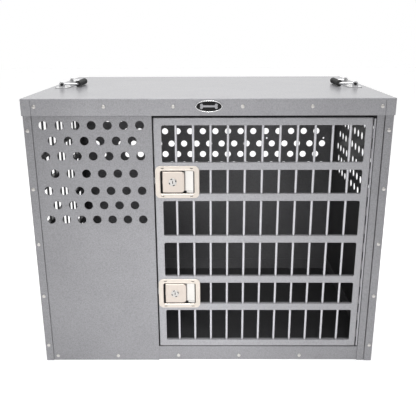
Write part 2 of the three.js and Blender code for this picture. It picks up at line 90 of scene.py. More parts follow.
# The door's windows, from the rails behind their sills
RAILS = [extent(f"door_rail_{i + 1}") for i in range(6)]
SILL_HEIGHT = RAILS[-1][2][1] - DOOR[2][0]
WINDOW_TOPS = [DOOR[2][1] - SILL_HEIGHT] + [rail[2][1] - SILL_HEIGHT for rail in RAILS[:-1]]
WINDOW_X = (DOOR[0][0] + 19.5, RAILS[0][0][1] - 0.5)
WINDOW_CORNER = 5.0
LATCH_WINDOWS = (1, 4)

# The left wall's windows, from the grille that laps over their ends
GRILLE = extent("left_side_grille")
GRILLE_LAP = 8.0

HINGE_PIN = extent("hinge_pin")
HINGE = Vector((middle(HINGE_PIN[0]), middle(HINGE_PIN[1])))
KNUCKLE_RADIUS = HINGE.y - extent("jamb_hinge_leaf")[1][0]

RIVET_RADIUS = 4.8
SHARP = radians(40)  # folds and edges steeper than this stay crisp

# ---------------------------------------------------------------- materials


class Graph:
    """A node tree, with the nodes that finishes and the sky share."""

    def __init__(self, tree):
        self.tree = tree

    def node(self, kind, **values):
        node = self.tree.nodes.new(kind)
        for name, value in values.items():
            setattr(node, name, value)
        return node

    def feed(self, socket, source):
        self.tree.links.new(source, socket)

    def ramp(self, value, span, result):
        """value, from one span to another, held at its ends."""
        ramp = self.node("ShaderNodeMapRange")
        ramp.inputs["From Min"].default_value, ramp.inputs["From Max"].default_value = span
        ramp.inputs["To Min"].default_value, ramp.inputs["To Max"].default_value = result
        self.feed(ramp.inputs["Value"], value)
        return ramp.outputs["Result"]

    def math(self, operation, *sources):
        node = self.node("ShaderNodeMath", operation=operation)
        for socket, source in zip(node.inputs, sources):
            self.feed(socket, source)
        return node.outputs[0]


class Finish(Graph):
    """A Principled material and its pattern."""

    def __init__(self, name, **sockets):
        self.material = bpy.data.materials.new(name)
        self.material.use_nodes = True
        super().__init__(self.material.node_tree)
        self.shader = self.tree.nodes["Principled BSDF"]
        for socket, value in sockets.items():
            self.shader.inputs[socket.replace("_", " ")].default_value = value
        self.place = self.node("ShaderNodeTexCoord").outputs["Object"]

    def stretched(self, stretch):
        mapping = self.node("ShaderNodeMapping")
        mapping.inputs["Scale"].default_value = stretch
        self.feed(mapping.inputs["Vector"], self.place)
        return mapping.outputs["Vector"]

    def noise(self, scale, detail=2.0, roughness=0.5, stretch=(1, 1, 1)):
        """Cloudy values about one half, with features of 1/scale metres."""
        noise = self.node("ShaderNodeTexNoise")
        noise.inputs["Scale"].default_value = scale
        noise.inputs["Detail"].default_value = detail
        noise.inputs["Roughness"].default_value = roughness
        self.feed(noise.inputs["Vector"], self.stretched(stretch))
        return noise.outputs["Fac"]

    def cells(self, scale, wander):
        """Distance from the middle of cells that are 1/scale metres wide, with wandering edges."""
        voronoi = self.node("ShaderNodeTexVoronoi", feature="SMOOTH_F1")
        voronoi.inputs["Scale"].default_value = scale
        voronoi.inputs["Smoothness"].default_value = 0.6
        place = self.stretched((1, 1, 1))
        noise = self.node("ShaderNodeTexNoise")
        noise.inputs["Scale"].default_value = scale * 0.6
        self.feed(noise.inputs["Vector"], place)
        add = self.node("ShaderNodeVectorMath", operation="MULTIPLY_ADD")
        self.feed(add.inputs[0], noise.outputs["Color"])
        add.inputs[1].default_value = (wander / scale,) * 3
        self.feed(add.inputs[2], place)
        self.feed(voronoi.inputs["Vector"], add.outputs[0])
        return voronoi.outputs["Distance"]

    def colours(self, value, dark, light):
        """Base colour between two tones as value goes from 0 to 1."""
        mix = self.node("ShaderNodeMix", data_type="RGBA")
        mix.inputs["A"].default_value = (*dark, 1)
        mix.inputs["B"].default_value = (*light, 1)
        self.feed(mix.inputs["Factor"], value)
        self.feed(self.shader.inputs["Base Color"], mix.outputs["Result"])

    def roughness(self, value, span, result):
        self.feed(self.shader.inputs["Roughness"], self.ramp(value, span, result))

    def bump(self, height, depth):
        """Relief of a depth in metres."""
        bump = self.node("ShaderNodeBump")
        bump.inputs["Distance"].default_value = depth
        self.feed(bump.inputs["Height"], height)
        self.feed(self.shader.inputs["Normal"], bump.outputs["Normal"])


def grey(level, tint=(1, 1, 1)):
    return tuple(level * t for t in tint)


COOL = (0.985, 0.98, 1.03)


def hammertone(name, level, spread, metallic, coat=0.2):
    """Hammered enamel: shallow round cells with bright flakes, and a slow drift in tone."""
    finish = Finish(name, Metallic=metallic, Coat_Weight=coat, Coat_Roughness=0.18)
    cells = finish.cells(360, wander=0.9)
    flakes = finish.noise(900, detail=1.0)
    patches = finish.noise(150, detail=2.0)
    drift = finish.noise(9, detail=4.0, roughness=0.6)
    tone = finish.math("ADD", finish.ramp(cells, (0.1, 0.75), (0.72, 0.12)),
                       finish.ramp(flakes, (0.35, 0.7), (-0.16, 0.24)))
    tone = finish.math("ADD", tone, finish.ramp(patches, (0.3, 0.7), (-0.08, 0.08)))
    tone = finish.math("ADD", tone, finish.ramp(drift, (0.3, 0.7), (-0.12, 0.12)))
    finish.colours(tone, grey(level - spread, COOL), grey(level + spread, COOL))
    finish.roughness(flakes, (0.3, 0.7), (0.40, 0.56))
    finish.bump(finish.ramp(cells, (0.0, 0.8), (1.0, 0.0)), 0.00022)
    return finish.material


def plated(name, level, tint, metallic, roughness, stretch):
    """Plated or brushed metal, with fine lines along the axis that stretch makes smallest,
    and light handling marks."""
    finish = Finish(name, Metallic=metallic)
    lines = finish.noise(1400, detail=3.0, roughness=0.6, stretch=stretch)
    marks = finish.noise(28, detail=4.0, roughness=0.65)
    tone = finish.math("ADD", finish.ramp(lines, (0.3, 0.7), (0.15, 0.6)),
                       finish.ramp(marks, (0.35, 0.65), (0.0, 0.35)))
    finish.colours(tone, grey(level * 0.86, tint), grey(level, tint))
    finish.roughness(marks, (0.3, 0.7), roughness)
    finish.bump(lines, 0.00002)
    return finish.material


def matt(name, specular, wear_scale, most_worn, tones, roughness, grain_scale, depth, tint=(1, 1, 1)):
    """A dark matt surface with a fine grain, a little paler where it is handled."""
    finish = Finish(name, Specular_IOR_Level=specular)
    wear = finish.noise(wear_scale, detail=4.0, roughness=0.7)
    finish.colours(finish.ramp(wear, (0.4, most_worn), (0.0, 1.0)),
                   *(grey(tone, tint) for tone in tones))
    finish.roughness(wear, (0.3, 0.7), roughness)
    finish.bump(finish.noise(grain_scale), depth)
    return finish.material


def enamel(name):
    finish = Finish(name, Coat_Weight=0.1, Coat_Roughness=0.1, Specular_IOR_Level=0.2)
    cloud = finish.noise(400, detail=2.0)
    finish.colours(cloud, grey(0.002), grey(0.006))
    finish.roughness(cloud, (0.3, 0.7), (0.3, 0.45))
    finish.bump(finish.noise(700, detail=1.0), 0.00003)
    return finish.material


def studio_paper(name):
    """White paper that gives off a little light."""
    finish = Finish(name, Emission_Strength=0.38)
    finish.colours(finish.noise(3, detail=2.0), grey(0.92), grey(0.94))
    finish.shader.inputs["Emission Color"].default_value = (1, 1, 1, 1)
    finish.roughness(finish.noise(60), (0.3, 0.7), (0.85, 0.95))
    return finish.material


OUTSIDE = hammertone("hammertone_grey", 0.28, 0.055, 0.35)
# A darker copy of the grey: painted shade for the crate's inside faces.
INSIDE_SHADE = hammertone("hammertone_inside_shade", 0.155, 0.035, 0.2)
# A still darker copy: painted shade on the floor's level face, the insides of the front and side
# walls, and the left wall's ledges.
SHADED = hammertone("hammertone_shaded", 0.06, 0.015, 0.2)
# A lighter copy of the grey with more coat: the lighter tone is painted light for the lid's brighter
# top.
LID_PAINTED_LIGHT = hammertone("hammertone_lid_painted_light", 0.325, 0.05, 0.35, coat=0.5)
DOOR_COAT = hammertone("hammertone_door", 0.35, 0.055, 0.35)
BAR_METAL = plated("plated_bar", 0.62, COOL, 0.75, (0.3, 0.42), (1, 1, 0.05))
# A dark copy of the bars' plating: painted shade for the left wall's bars, seen against the dark
# inside.
SIDE_BAR_SHADE = plated("side_bar", 0.12, COOL, 0.25, (0.5, 0.65), (1, 1, 0.05))
LATCH_METAL = plated("satin_latch", 0.66, (1.0, 0.91, 0.82), 0.7, (0.3, 0.42), (0.06, 1, 1))
PADDLE_METAL = plated("satin_paddle", 0.62, (1.0, 0.89, 0.80), 0.7, (0.32, 0.44), (1, 1, 0.06))
LOCK_METAL = plated("lock_nickel", 0.60, (1.0, 0.97, 0.94), 0.85, (0.32, 0.42), (1, 1, 1))
# A lighter copy of the latch's metal: painted reflection for the finger recesses.
RECESS_SHEEN = plated("recess_painted_sheen", 0.70, (1.0, 0.97, 0.93), 0.5, (0.3, 0.45), (1, 0.06, 1))
ZINC = plated("bright_zinc", 0.76, (1, 1, 1.01), 1.0, (0.12, 0.22), (1, 0.1, 1))
BADGE_METAL = plated("badge_metal", 0.40, COOL, 0.8, (0.3, 0.4), (1, 1, 1))
RIVET_METAL = plated("rivet_metal", 0.60, (1.03, 1.0, 0.97), 0.85, (0.28, 0.38), (1, 1, 1))
HINGE_STEEL = plated("rolled_hinge", 0.42, COOL, 0.7, (0.32, 0.46), (1, 1, 0.08))
DARK_STEEL = plated("dark_steel", 0.10, COOL, 0.6, (0.35, 0.5), (1, 1, 1))
# Near black: painted shade in the slits, the gaps round the door, the latch dishes, the screw slots
# and lock marks, the handles' caps, and behind the hinge's knuckles.
SHADE_BLACK = matt("black_painted_shade", 0.25, 60, 0.75, (0.018, 0.05), (0.55, 0.75), 1200, 0.00004, COOL)
RUBBER = matt("ribbed_rubber", 0.35, 45, 0.7, (0.035, 0.075), (0.6, 0.8), 1600, 0.00012)
ENAMEL = enamel("badge_enamel")

# ---------------------------------------------------------------- outlines


def circle(u, v, radius, steps=28, clockwise=False):
    turn = -1 if clockwise else 1
    angles = [turn * 2 * pi * i / steps for i in range(steps)]
    return [Vector((u + radius * cos(a), v + radius * sin(a))) for a in angles]


def arc(u, v, radius, start, end, steps=6):
    """Points on an arc, with its angles in degrees."""
    angles = [radians(start + (end - start) * i / steps) for i in range(steps + 1)]
    return [Vector((u + radius * cos(a), v + radius * sin(a))) for a in angles]


def rounded(us, vs, radius, steps=6):
    """A rectangle with round corners, anticlockwise from its lower right."""
    (u0, u1), (v0, v1) = us, vs
    r = max(radius, 0.02)
    return (arc(u1 - r, v0 + r, r, -90, 0, steps) + arc(u1 - r, v1 - r, r, 0, 90, steps)
            + arc(u0 + r, v1 - r, r, 90, 180, steps) + arc(u0 + r, v0 + r, r, 180, 270, steps))


def mitred(here, before, after, distance):
    """A corner moved to the left of the ways into it and out of it."""
    left, next_left = Vector((-before.y, before.x)), Vector((-after.y, after.x))
    return here + distance * (left + next_left) / (1 + left.dot(next_left))


def inset(outline, distance):
    """The outline moved to its left."""
    around = zip(outline[-1:] + outline[:-1], outline, outline[1:] + outline[:1])
    return [mitred(here, (here - last).normalized(), (following - here).normalized(), distance)
            for last, here, following in around]


def divided(outline, step):
    """The outline with its long edges cut into steps."""
    points = []
    for here, after in zip(outline, outline[1:] + outline[:1]):
        parts = max(1, round((after - here).length / step))
        points += [here.lerp(after, i / parts) for i in range(parts)]
    return points


def air_holes(pitch, count, centre, top_row):
    """The staggered rows: every second row has one hole fewer."""
    holes = []
    for row, drop in enumerate(ROW_DROPS):
        in_row = count - row % 2
        first = centre - pitch * (in_row - 1) / 2
        holes += [circle(first + i * pitch, top_row - drop, HOLE_RADIUS, clockwise=True)
                  for i in range(in_row)]
    return holes


# ---------------------------------------------------------------- mesh tools


def drawn(low, high, edge):
    """The profile of a shape drawn out between two levels, as (inset, level)."""
    return [(edge, low), (0, low + edge), (0, high - edge), (edge, high)]


def sheared(thickness, edge=CUT_EDGE):
    """The edge profile of a flat sheet, as (inset, depth) from its face to its back."""
    return drawn(0, thickness, edge)


def rolled(radius, steps=4):
    """A quarter round from a plate's face to its edge, as (inset, depth)."""
    return [(radius * (1 - sin(a)), radius * (1 - cos(a)))
            for a in (pi / 2 * i / steps for i in range(steps + 1))]


def pressed(thickness, radius, steps=4):
    """The edge profile of a plate whose face rounds over to a plain back."""
    return rolled(radius, steps) + [(0, thickness - CUT_EDGE), (CUT_EDGE, thickness)]


def turned_back(thickness, radius, depth):
    """The edge profile of a plate whose edge folds back, down to the folded sheet's inner corner."""
    lip = [(0, depth - CUT_EDGE), (CUT_EDGE, depth), (thickness - CUT_EDGE, depth),
           (thickness, depth - CUT_EDGE)]
    inner = thickness + 0.3 * (radius - thickness)
    return rolled(radius) + lip + [(thickness, radius), (inner, inner), (radius, thickness)]


def add_walls(bm, rings, closed=False):
    """Quads between rings of points, and the rings' own vertices."""
    loops = [[bm.verts.new(point) for point in ring] for ring in rings]
    pairs = list(zip(loops, loops[1:]))
    if closed:
        pairs.append((loops[-1], loops[0]))
    for near, far in pairs:
        for i in range(len(near)):
            j = (i + 1) % len(near)
            bm.faces.new((near[i], near[j], far[j], far[i]))
    return loops


def loft(rings, closed=False, inside_from=None):
    """A shell through rings of points. From one ring on, its faces are the inside."""
    bm = bmesh.new()
    loops = add_walls(bm, rings, closed)
    if not closed:
        bm.faces.new(loops[0])
        bm.faces.new(loops[-1])
    if inside_from is not None:
        inner = {v for loop in loops[inside_from:] for v in loop}
        for face in bm.faces:
            face.material_index = int(all(v in inner for v in face.verts))
    return bm


def plate(outline, holes=(), rim=None, hole_rim=None):
    """A sheet with holes, each edge rounded by its profile. Its back has material 1."""
    rim = rim or sheared(SHEET)
    bm = bmesh.new()
    ends = ([], [])
    for number, loop in enumerate([outline, *holes]):
        profile = (hole_rim or rim) if number else rim
        rings = [[(*point, depth) for point in inset(loop, distance)]
                 for distance, depth in profile]
        loops = add_walls(bm, rings)
        for edges, ring in zip(ends, (loops[0], loops[-1])):
            edges += [bm.edges.get((ring[i - 1], ring[i])) for i in range(len(ring))]
    for side, edges in enumerate(ends):
        filled = bmesh.ops.triangle_fill(bm, use_beauty=True, edges=edges)
        for item in filled["geom"]:
            if isinstance(item, bmesh.types.BMFace):
                item.material_index = side
    return bm


def fold(bm, at, side, radius=BEND):
    """Folds the sheet past u = at square backwards. side is 1 for its right and -1 for its left."""
    angle, steps = pi / 2, 6
    length = radius * angle
    for i in range(steps + 1):
        cut = (at + side * length * i / steps, 0, 0)
        everything = bm.verts[:] + bm.edges[:] + bm.faces[:]
        bmesh.ops.bisect_plane(bm, geom=everything, plane_co=cut, plane_no=(1, 0, 0), dist=0.01)
    for vert in bm.verts:
        past = side * (vert.co.x - at)
        if past > 0:
            turn = min(past / length, 1) * angle
            rest = max(past - length, 0)
            arm = radius - vert.co.z
            vert.co.x = at + side * (arm * sin(turn) + rest * cos(turn))
            vert.co.z = radius - arm * cos(turn) + rest * sin(turn)
    return bm


def ribbon(path, thickness, span):
    """A bent strip: a path in u and w, thickened to its left, and drawn out along v."""
    points = [Vector(p) for p in path]
    offsets = []
    for i, here in enumerate(points):
        before = (here - points[i - 1]).normalized() if i else (points[1] - here).normalized()
        after = (points[i + 1] - here).normalized() if i + 1 < len(points) else before
        offsets.append(mitred(here, before, after, thickness))
    outline = points + offsets[::-1]
    area = sum(a.x * b.y - b.x * a.y for a, b in zip(outline, outline[1:] + outline[:1]))
    inward = 1 if area > 0 else -1
    return loft([[(p.x, v, p.y) for p in inset(outline, inward * distance)]
                 for distance, v in drawn(*span, 0.15)])


def lathe(profile, steps):
    """A turned piece about the w axis, from (radius, w) pairs."""
    return loft([[(*p, w) for p in circle(0, 0, max(r, 0.01), steps)] for r, w in profile])


def box(us, vs, ws, edge):
    """A block with rounded edges."""
    return plate(rounded(us, vs, edge, 2), rim=drawn(*ws, edge))


def sweep(points, radius, steps):
    """A round rod along a smooth path that never runs straight up."""
    path = [Vector(p) for p in points]
    rings = []
    for i, here in enumerate(path):
        along = (path[min(i + 1, len(path) - 1)] - path[max(i - 1, 0)]).normalized()
        across = along.cross(Vector((0, 0, 1))).normalized()
        over = across.cross(along)
        rings.append([here + radius * (cos(a) * across + sin(a) * over)
                      for a in (2 * pi * k / steps for k in range(steps))])
    return loft(rings)


def merged(*parts):
    """Several closed shells as one mesh."""
    whole = bmesh.new()
    for part in parts:
        mesh = bpy.data.meshes.new("part")
        part.to_mesh(mesh)
        part.free()
        whole.from_mesh(mesh)
        bpy.data.meshes.remove(mesh)
    return whole


def moved(bm, matrix):
    bm.transform(matrix)
    return bm


def shift(u=0.0, v=0.0, w=0.0):
    return Matrix.Translation((u, v, w))


def placed(name, data):
    """An object in the scene."""
    obj = bpy.data.objects.new(name, data)
    bpy.context.scene.collection.objects.link(obj)
    return obj


def made(name, bm):
    """An object in the scene from a drawn mesh."""
    mesh = bpy.data.meshes.new(name)
    bm.to_mesh(mesh)
    bm.free()
    return placed(name, mesh)


def tidy(bm):
    bmesh.ops.remove_doubles(bm, verts=bm.verts, dist=0.002)
    bmesh.ops.dissolve_degenerate(bm, edges=bm.edges, dist=0.001)
    bmesh.ops.recalc_face_normals(bm, faces=bm.faces)
    return bm


def carved(bm, *tools):
    """bm with the closed shapes in tools cut out of it."""
    body, tool = made("body", tidy(bm)), made("tool", tidy(merged(*tools)))
    cut = body.modifiers.new("cut", "BOOLEAN")
    cut.object, cut.operation, cut.solver = tool, "DIFFERENCE", "EXACT"
    graph = bpy.context.evaluated_depsgraph_get()
    result = bmesh.new()
    result.from_object(body, graph)
    for obj in (body, tool):
        mesh = obj.data
        bpy.data.objects.remove(obj)
        bpy.data.meshes.remove(mesh)
    return result


# Where a drawn sheet stands: u, v and w go along these axes, from this place.
def standing(u_axis, v_axis, w_axis, origin=(0, 0, 0)):
    turn = Matrix((u_axis, v_axis, w_axis)).transposed().to_4x4()
    return Matrix.Translation(origin) @ turn


def facing_front(y, x=0.0, z=0.0):
    return standing((1, 0, 0), (0, 0, 1), (0, 1, 0), (x, y, z))


def facing_back(y, x=0.0, z=0.0):
    return standing((-1, 0, 0), (0, 0, 1), (0, -1, 0), (x, y, z))


def facing_side(side, x, y=0.0, z=0.0):
    """Seen from the right for side 1, and from the left for side -1."""
    return standing((0, side, 0), (0, 0, 1), (-side, 0, 0), (x, y, z))


def facing_up(z, x=0.0, y=0.0):
    return standing((1, 0, 0), (0, 1, 0), (0, 0, -1), (x, y, z))


def along_v(u=0.0, w=0.0):
    """Lays a turned or cut piece down, so that what was its depth runs up the sheet."""
    return facing_front(0, u, w)


UPRIGHT = standing((1, 0, 0), (0, 1, 0), (0, 0, 1))  # w up


def piece(name, bm, stands, finishes, body, replaces=()):
    """Stands a drawn mesh up in the frame, as one piece that rides on a body."""
    finishes = finishes if isinstance(finishes, tuple) else (finishes,)
    bm.transform(Matrix.Scale(MM, 4) @ stands)
    bmesh.ops.remove_doubles(bm, verts=bm.verts, dist=2e-6)
    bmesh.ops.dissolve_degenerate(bm, edges=bm.edges, dist=1e-6)
    bmesh.ops.recalc_face_normals(bm, faces=bm.faces)
    if len(finishes) == 1:
        for face in bm.faces:
            face.material_index = 0
    obj = made(name, bm)
    obj.data.shade_smooth()
    obj.data.set_sharp_from_angle(angle=SHARP)
    for finish in finishes:
        obj.data.materials.append(finish)
    normals = obj.modifiers.new("flat faces stay flat", "WEIGHTED_NORMAL")
    normals.keep_sharp = True
    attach(obj, body)
    if replaces:
        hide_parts(*replaces)
    return obj


def refinish(node, finish, edge):
    """Gives a CAD node its finish, and softens its edges."""
    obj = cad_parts[node]
    obj.data.materials.clear()
    obj.data.materials.append(finish)
    weld = obj.modifiers.new("join its facets", "WELD")
    weld.merge_threshold = 1e-6
    bevel = obj.modifiers.new("break its edges", "BEVEL")
    bevel.width, bevel.segments, bevel.limit_method = edge * MM, 2, "ANGLE"
    bevel.angle_limit = SHARP


# ---------------------------------------------------------------- shell


def tray(xs, ys, rim, crown):
    """A shallow folded tray, from its rim's level to its crown's."""
    (x0, x1), (y0, y1) = xs, ys
    way, edge = (1 if crown > rim else -1), 0.25
    levels = [(edge, rim), (0, rim + way * edge)]
    levels += [(BEND * (1 - cos(a)), crown - way * BEND * (1 - sin(a)))
               for a in (pi / 2 * i / 5 for i in range(6))]
    inner_bend = BEND - SHEET
    inside = [(BEND, crown - way * SHEET)]
    inside += [(SHEET + inner_bend * (1 - cos(a)), crown - way * (SHEET + inner_bend * (1 - sin(a))))
               for a in (pi / 2 * i / 3 for i in (2, 1, 0))]
    inside += [(SHEET, rim + way * edge), (SHEET - edge, rim)]
    rings = []
    for distance, z in levels[::-1] + inside[::-1]:
        outline = rounded((x0 + distance, x1 - distance), (y0 + distance, y1 - distance),
                          max(BEND - distance, 0.05), 4)
        rings.append([(*p, z) for p in outline])
    return loft(rings, inside_from=len(levels))


def make_lid():
    lid = tray(LID[0], LID[1], LID[2][0], LID[2][1])
    # The side flanges wrap round the corners, so the front and rear flanges have a fine seam
    # near each end.
    seam_x, half_width, past = WALL[0][1] - STRIP - 2, 0.45, 5
    seams = [box((x - half_width, x + half_width), (LID[1][0] - past, LID[1][1] + past),
                 (LID[2][0] - past, LID[2][1] - 4.5), 0.05) for x in (-seam_x, seam_x)]
    piece("lid", carved(lid, *seams), UPRIGHT, (LID_PAINTED_LIGHT, INSIDE_SHADE), "crate", ["top_cap"])


def make_floor():
    """Its level face is painted darkest, as shade, since the least light reaches it."""
    floor = tray(PAN[0], PAN[1], PAN[2][1], PAN[2][0])
    for face in floor.faces:
        if face.material_index and face.calc_center_median().z < SHEET + 1:
            face.material_index = 2
    piece("floor_tray", floor, UPRIGHT, (OUTSIDE, INSIDE_SHADE, SHADED), "crate", ["floor_pan"])


def make_side_wall(name, side):
    """The right wall has air holes, and the left wall windows at the heights of the door's."""
    (_, _), (y0, y1), (z0, z1) = WALL
    bend_length = BEND * pi / 2
    flat = (y1 - y0) / 2 - BEND
    reach = flat + bend_length + STRIP - BEND
    if side > 0:
        holes = air_holes(**SIDE_HOLES, top_row=TOP_ROW)
    else:
        across = [middle((y0, y1)) - y
                  for y in (GRILLE[1][1] - GRILLE_LAP, GRILLE[1][0] + GRILLE_LAP)]
        holes = [rounded(across, (rail[2][1], top), WINDOW_CORNER)[::-1]
                 for rail, top in zip(RAILS, WINDOW_TOPS)]
    wall = plate(rounded((-reach, reach), (z0, z1), 1.0, 2), holes)
    for way in (-1, 1):
        fold(wall, way * flat, way)
    stands = facing_side(side, side * WALL[0][1], middle((y0, y1)))
    piece(f"{name}_wall", wall, stands, (OUTSIDE, SHADED), "crate", [f"{name}_side_panel"])


def make_rear_wall():
    xs, ys, zs = extent("rear_panel")
    holes = air_holes(**REAR_HOLES, top_row=TOP_ROW - REAR_ROW_DROP)
    holes += [circle(-x, **FASTENER) for x in FASTENER_PLACES]
    wall = plate(rounded(xs, zs, 1.0, 2), holes)
    piece("rear_wall", wall, facing_back(ys[1]), (OUTSIDE, INSIDE_SHADE), "crate", ["rear_panel"])


def corner_slit(zs, side):
    """A slit beside a corner strip, where the wall's sheet stops short of it."""
    near = WALL[0][1] - STRIP - 0.1
    width = 1.8 if side > 0 else 0.7
    across = sorted((side * (near - width), side * near))
    return rounded(across, (zs[0] + 4, LID[2][0] - 1), 0.6, 2)[::-1]


def make_front():
    xs, _, zs = extent("front_left_panel")
    holes = air_holes(**FRONT_HOLES, top_row=TOP_ROW)
    wall = plate(rounded(xs, zs, 1.0, 2), [*holes, corner_slit(zs, -1)])
    piece("front_wall", wall, facing_front(FACE), (OUTSIDE, SHADED), "crate",
          ["front_left_panel"])
    xs, _, zs = extent("hinge_jamb")
    jamb = plate(rounded(xs, zs, 0.8, 2), [corner_slit(zs, 1)])
    piece("jamb", jamb, facing_front(FACE), (OUTSIDE, INSIDE_SHADE), "crate", ["hinge_jamb"])
    xs, ys, zs = extent("door_sill")
    sill = plate(rounded(xs, zs, 2.0, 2), rim=pressed(SHEET, 1.6))
    piece("sill", sill, facing_front(ys[0]), (OUTSIDE, INSIDE_SHADE), "crate", ["door_sill"])
    # The latch post is black: painted shade in the gap beside the door.
    refinish("latch_post", SHADE_BLACK, 0.3)
    # A strip behind each slit, from a little above the floor upwards, keeps the light out; its black
    # is painted shade.
    inward, outward, lift = 4, 6, 90
    for name, side in SIDES:
        us = sorted((side * (WALL[0][1] - STRIP - inward), side * (WALL[0][1] - STRIP + outward)))
        backing = box(us, (zs[0] + lift, LID[2][0] - 1), (SHEET + 0.1, SHEET + 0.7), 0.1)
        piece(f"{name}_slit_backing", backing, facing_front(FACE), SHADE_BLACK, "crate")


def make_header():
    """The strip over the door, folded back and then down as the door's stop."""
    xs, ys, zs = extent("door_header")
    fold_z = LID[2][0] + 2
    stop = ys[1] - ys[0] - SHEET
    section = [(zs[0], stop), *arc(fold_z - 0.8, stop - 0.8, 0.8, 90, 0, 3),
               *arc(fold_z + BEND, BEND, BEND, 180, 270, 5), (zs[1], 0)]
    header = ribbon(section, SHEET, xs)
    # Behind the front face, the fold and the stop are black: painted shade in the gap over the door.
    for face in header.faces:
        face.material_index = int(face.calc_center_median().z > 3)
    stands = standing((0, 0, 1), (1, 0, 0), (0, 1, 0), (0, ys[0], 0))
    piece("header", header, stands, (OUTSIDE, SHADE_BLACK), "crate", ["door_header"])
    # A tab closes the gap over the hinge from behind; its black is painted shade.
    hinge_top, below, above = HINGE_PIN[2][1], 9, 23
    tab = box((HINGE.x - 4, HINGE.x + 10), (hinge_top - below, hinge_top + above), (4.2, 4.8), 0.1)
    piece("header_tab", tab, facing_front(FACE), SHADE_BLACK, "crate")


def rivet(radius=RIVET_RADIUS, height=2.2):
    """A domed head on a thin collar, standing on w = 0."""
    dome = [(radius * cos(a), -0.35 - (height - 0.35) * sin(a))
            for a in (pi / 2 * i / 5 for i in range(6))]
    return lathe([(radius, 0.2), *dome], 18)


def make_rivets():
    lid_z = middle((LID[2][0], LID[2][1])) + 1.3
    foot_z, foot_spread = 14.2, 0.9965  # the foot's rivets stand a little closer than the lid's
    strip_x = WALL[0][1] - 9.7
    half_pitch, side_pitch, strip_pitch, first_on_strip = 84.7, 105.0, 149.8, 48.9
    along_front = [half_pitch * k for k in (-5, -3, -1, 1, 3, 5)]
    along_side = [side_pitch * k for k in (-2.6, -1.3, 0, 1.3, 2.6)]
    heights = [first_on_strip + strip_pitch * k for k in range(5)]
    front = [(x, LID[1][0], lid_z) for x in along_front]
    front += [(side * strip_x, WALL[1][0], z) for _, side in SIDES for z in heights]
    front += [(foot_spread * x, extent("door_sill")[1][0], foot_z) for x in along_front
              if x > DOOR[0][0]]
    front += [(foot_spread * x, FACE, foot_z) for x in along_front if x < DOOR[0][0]]
    back = [(x, LID[1][1], lid_z) for x in along_front]
    back += [(side * strip_x, WALL[1][1], z) for _, side in SIDES for z in heights]
    back += [(foot_spread * x, extent("rear_panel")[1][1], foot_z) for x in along_front]
    for name, facing, places in (("front", facing_front, front), ("rear", facing_back, back)):
        heads = [moved(rivet(), facing(y, x, z)) for x, y, z in places]
        piece(f"{name}_rivets", merged(*heads), UPRIGHT, RIVET_METAL, "crate")
    for name, side in SIDES:
        heads = [moved(rivet(), facing_side(side, side * x, y, z))
                 for x, z in ((LID[0][1], lid_z), (WALL[0][1], foot_z)) for y in along_side]
        piece(f"{name}_rivets", merged(*heads), UPRIGHT, RIVET_METAL, "crate")


def make_badge():
    """A domed enamel oval in a raised metal rim, with a plain bone in the middle."""
    xs, ys, zs = extent("badge")
    a, b = (xs[1] - xs[0]) / 2, (zs[1] - zs[0]) / 2
    back = ys[1] - ys[0]
    stands = facing_front(ys[0], middle(xs), middle(zs))

    def ovals(profile, steps=48):
        """Rings of (shrink, w), each inside the badge's edge."""
        return [[((a - shrink) * cos(t), (b - shrink) * sin(t), w)
                 for t in (2 * pi * i / steps for i in range(steps))] for shrink, w in profile]

    rim_profile = [(0, back), (0, 0.3), (0.25, -0.15), (0.8, -0.4), (1.5, -0.4), (2.1, -0.15),
                   (2.4, 0.35), (2.4, back)]
    piece("badge_rim", loft(ovals(rim_profile), closed=True), stands, ZINC, "crate")
    face_profile = [(2.3, back), (2.3, 0.4), (5.0, 0.2), (9.0, 0.05), (13.0, 0.0)]
    piece("badge_face", loft(ovals(face_profile)), stands, ENAMEL, "crate", ["badge"])
    lobe, reach, spread = 3.6, 18.0, 2.9
    bone = (arc(reach, spread, lobe, -35, 190, 12) + arc(-reach, spread, lobe, -10, 215, 12)
            + arc(-reach, -spread, lobe, 145, 370, 12) + arc(reach, -spread, lobe, 170, 395, 12))
    piece("badge_bone", plate(bone, rim=pressed(0.7, 0.4, 3)), stands @ shift(w=-0.35),
          BADGE_METAL, "crate")


# ---------------------------------------------------------------- door


def make_door_skin():
    xs, ys, zs = DOOR
    outline = divided(rounded(xs, zs, 1.5, 3), 16)
    windows = []
    for i, (rail, top) in enumerate(zip(RAILS, WINDOW_TOPS)):
        left = LATCH[0] - 47.7 if i in LATCH_WINDOWS else WINDOW_X[0]
        windows.append(rounded((left, WINDOW_X[1]), (rail[2][1], top), WINDOW_CORNER)[::-1])
    depth = ys[1] - ys[0]
    skin = plate(outline, windows, turned_back(SHEET, BEND, depth), sheared(SHEET, 0.45))
    # The fold stops short of the hinge.
    fold_end, taper = WINDOW_X[1], 16
    for vert in skin.verts:
        room = depth - (depth - SHEET) * min(max((vert.co.x - fold_end + taper) / taper, 0), 1)
        vert.co.z = min(vert.co.z, max(room, SHEET))
    piece("door_sheet", skin, facing_front(FACE), (DOOR_COAT, INSIDE_SHADE), "door", ["door_skin"])


def ledge(depth, drop, run, bars):
    """The angle under a row of windows, with holes in its level side for the bars."""
    sheet, radius, hole_radius = 1.5, 2.2, 3.6
    bend_at = depth - radius
    reach = bend_at + radius * pi / 2 + drop - radius
    holes = [circle(u, v, hole_radius, 20, clockwise=True) for u, v in bars]
    return fold(plate(rounded((0, reach), run, 0.6, 2), holes, sheared(sheet, 0.25)),
                bend_at, 1, radius)


def round_bar(radius, low, high, edge=0.6, steps=24):
    return lathe([(radius - distance, w) for distance, w in drawn(low, high, edge)], steps)


